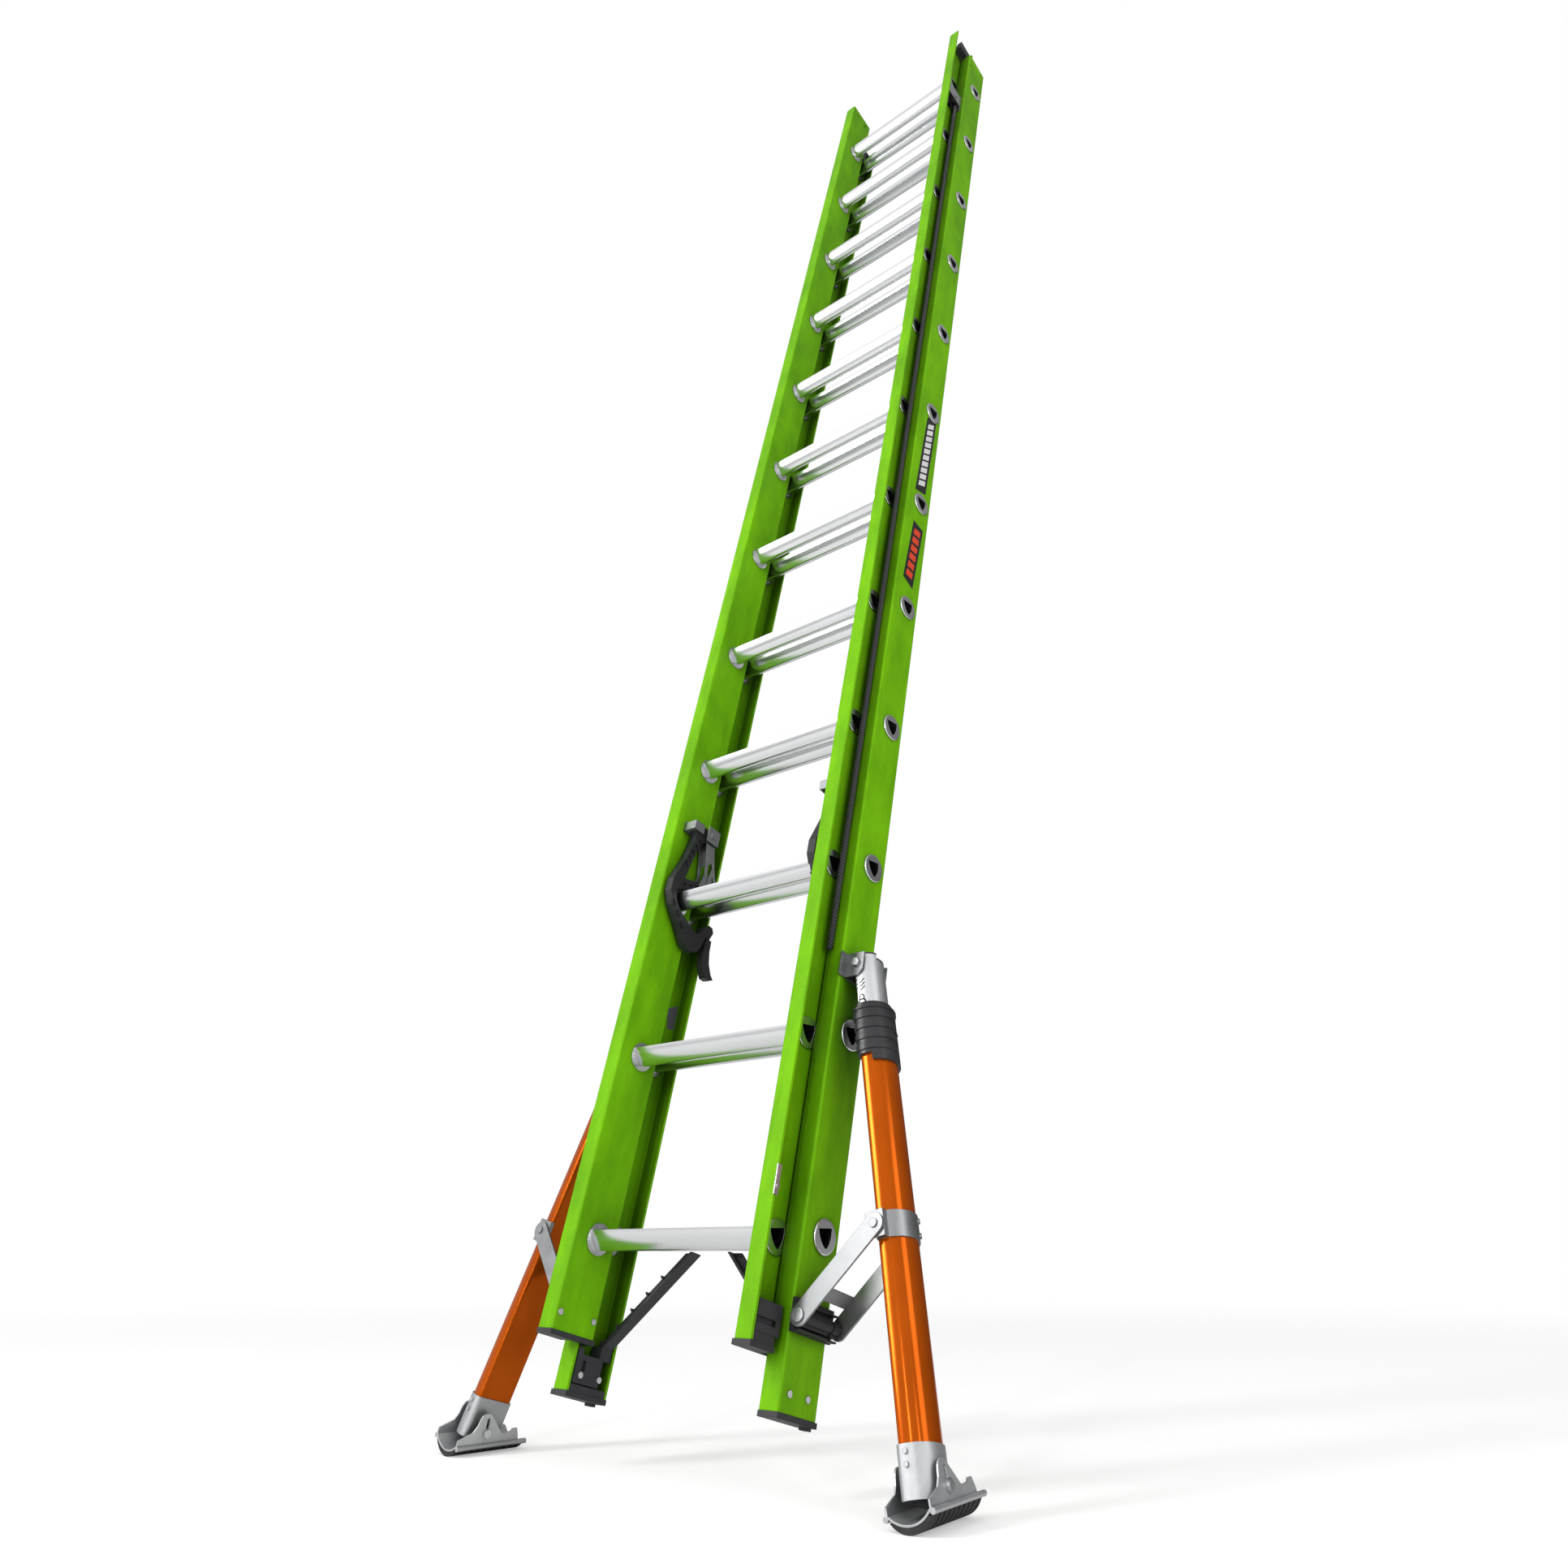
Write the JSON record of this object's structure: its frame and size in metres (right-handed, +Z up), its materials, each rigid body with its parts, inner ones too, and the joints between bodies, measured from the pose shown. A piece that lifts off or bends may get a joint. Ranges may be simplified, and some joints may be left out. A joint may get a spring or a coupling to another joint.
{
  "type": "extension ladder",
  "caption": "Two-section extension ladder with channel rails, D rungs, swinging rung locks, a rope and pulley, and two folding outrigger legs on tilting shoes.",
  "frame": {"origin": "the point on the floor midway between the two shoe bolts, with the ladder leaning in use", "axes": "+Z straight up, +Y back towards the wall that the ladder leans on, +X along the rungs to the right seen from the front"},
  "size_m": [0.9438, 1.0649, 3.7969],
  "materials": {
    "fibreglass": "satin lime fibreglass with fine pigment mottling",
    "rung_aluminium": "drawn aluminium with fine lines along the rung",
    "rail_plastic": "moulded plastic, fine grain",
    "bracket_steel": "zinc plated sheet",
    "bracket_plastic": "moulded plastic, satin",
    "lock_plastic": "glass filled plastic",
    "lock_steel": "zinc plated sheet",
    "inner_leg_aluminium": "satin drawn aluminium",
    "plug_plastic": "moulded plastic",
    "orange_paint": "gloss powder coat",
    "sleeve_plastic": "moulded plastic, satin sheen",
    "socket_steel": "zinc plated sheet",
    "tread_rubber": "ribbed rubber",
    "bolt_steel": "zinc plated",
    "shoe_steel": "zinc plated sheet",
    "rivet_steel": "bright rivet heads",
    "pulley_steel": "zinc plated sheet",
    "sheave_plastic": "moulded nylon",
    "clip_steel": "zinc plated strip",
    "rope_fibre": "braided polypropylene"
  },
  "bodies": {
    "base": {"base_rail_left": "fibreglass", "base_rail_right": "fibreglass", "base_rungs_lower": "rung_aluminium", "base_rungs_middle": "rung_aluminium", "base_rungs_upper": "rung_aluminium", "base_end_cap_left": "rail_plastic", "base_end_cap_right": "rail_plastic", "foot_brace_left": "rail_plastic", "foot_brace_right": "rail_plastic", "top_guide_left": "rail_plastic", "top_guide_right": "rail_plastic", "leg_bracket_left": "bracket_steel", "leg_bracket_right": "bracket_steel", "link_bracket_left": "bracket_plastic", "link_bracket_right": "bracket_plastic", "base_bolts": "bolt_steel", "base_rivets": "rivet_steel", "pulley_bracket": "pulley_steel", "rope_tail": "rope_fibre"},
    "fly": {"fly_rail_left": "fibreglass", "fly_rail_right": "fibreglass", "fly_rungs_lower": "rung_aluminium", "fly_rungs_middle": "rung_aluminium", "fly_rungs_upper": "rung_aluminium", "fly_end_cap_left": "rail_plastic", "fly_end_cap_right": "rail_plastic", "fly_guide_left": "rail_plastic", "fly_guide_right": "rail_plastic", "lock_bracket_left": "lock_steel", "lock_bracket_right": "lock_steel", "fly_rivets": "rivet_steel", "rope_clip": "clip_steel", "rope_lift": "rope_fibre"},
    "sheave": {"pulley_sheave": "sheave_plastic"},
    "lock_left": {"lock_body_left": "lock_plastic", "lock_hook_left": "lock_steel"},
    "tongue_left": {"lock_tongue_left": "lock_plastic"},
    "inner_leg_left": {"inner_leg_left": "inner_leg_aluminium", "leg_plug_left": "plug_plastic"},
    "outer_leg_left": {"outer_leg_left": "orange_paint", "leg_collar_left": "bracket_steel", "leg_socket_left": "socket_steel"},
    "sleeve_left": {"leg_sleeve_left": "sleeve_plastic"},
    "link_left": {"swing_link_left": "bracket_steel"},
    "shoe_left": {"shoe_left": "shoe_steel", "shoe_tread_left": "tread_rubber", "shoe_bolt_left": "bolt_steel"},
    "lock_right": {"lock_body_right": "lock_plastic", "lock_hook_right": "lock_steel"},
    "tongue_right": {"lock_tongue_right": "lock_plastic"},
    "inner_leg_right": {"inner_leg_right": "inner_leg_aluminium", "leg_plug_right": "plug_plastic"},
    "outer_leg_right": {"outer_leg_right": "orange_paint", "leg_collar_right": "bracket_steel", "leg_socket_right": "socket_steel"},
    "sleeve_right": {"leg_sleeve_right": "sleeve_plastic"},
    "link_right": {"swing_link_right": "bracket_steel"},
    "shoe_right": {"shoe_right": "shoe_steel", "shoe_tread_right": "tread_rubber", "shoe_bolt_right": "bolt_steel"}
  },
  "joints": [
    {"name": "fly_extend", "type": "slide", "parent": "base", "child": "fly", "axis": [0, 0.2504, 0.9681], "range_m": [0, 2.7432], "deforming": ["rope_lift"]},
    {"name": "sheave_spin", "type": "hinge", "parent": "base", "child": "sheave", "pos_m": [0.2, 0.8093, 3.44607], "axis": [1, 0, 0], "continuous": true},
    {"name": "lock_left_swing", "type": "hinge", "parent": "fly", "child": "lock_left", "pos_m": [-0.17, 0.23083, 1.05144], "axis": [1, 0, 0], "range_deg": [-20, 0], "stiffness_Nm_per_rad": 0.6, "springref_deg": 6.88},
    {"name": "tongue_left_flip", "type": "hinge", "parent": "lock_left", "child": "tongue_left", "pos_m": [-0.17, 0.23731, 0.86281], "axis": [1, 0, 0], "range_deg": [0, 50], "stiffness_Nm_per_rad": 0.02, "springref_deg": -17.19},
    {"name": "leg_left_swing", "type": "hinge", "parent": "base", "child": "inner_leg_left", "pos_m": [-0.24508, 0.17819, 0.71448], "axis": [0, -0.9681, 0.2504], "range_deg": [0, 12.84]},
    {"name": "leg_left_shorten", "type": "slide", "parent": "inner_leg_left", "child": "outer_leg_left", "axis": [0.2477, 0.2426, 0.938], "range_m": [0, 0.05206]},
    {"name": "link_left_swing", "type": "hinge", "parent": "base", "child": "link_left", "pos_m": [-0.238, 0.04694, 0.20698], "axis": [0, -0.9681, 0.2504], "range_deg": [-37.79, 0]},
    {"name": "sleeve_left_pull", "type": "slide", "parent": "outer_leg_left", "child": "sleeve_left", "axis": [0.2477, 0.2426, 0.938], "range_m": [-0.012, 0], "stiffness_N_per_m": 400, "springref_m": 0.01},
    {"name": "shoe_left_tilt", "type": "hinge", "parent": "outer_leg_left", "child": "shoe_left", "pos_m": [-0.42969, 0.00012, 0.03794], "axis": [0.9688, -0.062, -0.2398], "range_deg": [-25, 0]},
    {"name": "lock_right_swing", "type": "hinge", "parent": "fly", "child": "lock_right", "pos_m": [0.17, 0.23083, 1.05144], "axis": [1, 0, 0], "range_deg": [-20, 0], "stiffness_Nm_per_rad": 0.6, "springref_deg": 6.88},
    {"name": "tongue_right_flip", "type": "hinge", "parent": "lock_right", "child": "tongue_right", "pos_m": [0.17, 0.23731, 0.86281], "axis": [1, 0, 0], "range_deg": [0, 50], "stiffness_Nm_per_rad": 0.02, "springref_deg": -17.19},
    {"name": "leg_right_swing", "type": "hinge", "parent": "base", "child": "inner_leg_right", "pos_m": [0.24508, 0.17819, 0.71448], "axis": [0, 0.9681, -0.2504], "range_deg": [0, 12.84]},
    {"name": "leg_right_shorten", "type": "slide", "parent": "inner_leg_right", "child": "outer_leg_right", "axis": [-0.2477, 0.2426, 0.938], "range_m": [0, 0.05206]},
    {"name": "link_right_swing", "type": "hinge", "parent": "base", "child": "link_right", "pos_m": [0.238, 0.04694, 0.20698], "axis": [0, 0.9681, -0.2504], "range_deg": [-37.79, 0]},
    {"name": "sleeve_right_pull", "type": "slide", "parent": "outer_leg_right", "child": "sleeve_right", "axis": [-0.2477, 0.2426, 0.938], "range_m": [-0.012, 0], "stiffness_N_per_m": 400, "springref_m": 0.01},
    {"name": "shoe_right_tilt", "type": "hinge", "parent": "outer_leg_right", "child": "shoe_right", "pos_m": [0.42969, 0.00012, 0.03794], "axis": [0.9688, 0.062, 0.2398], "range_deg": [-25, 0]}
  ],
  "couplings": [
    {"joint": "link_left_swing", "follows": "leg_left_swing", "ratio": -2.9413},
    {"joint": "leg_left_shorten", "follows": "leg_left_swing", "m_per_rad": 0.23186},
    {"joint": "link_right_swing", "follows": "leg_right_swing", "ratio": -2.9413},
    {"joint": "leg_right_shorten", "follows": "leg_right_swing", "m_per_rad": 0.23186}
  ]
}
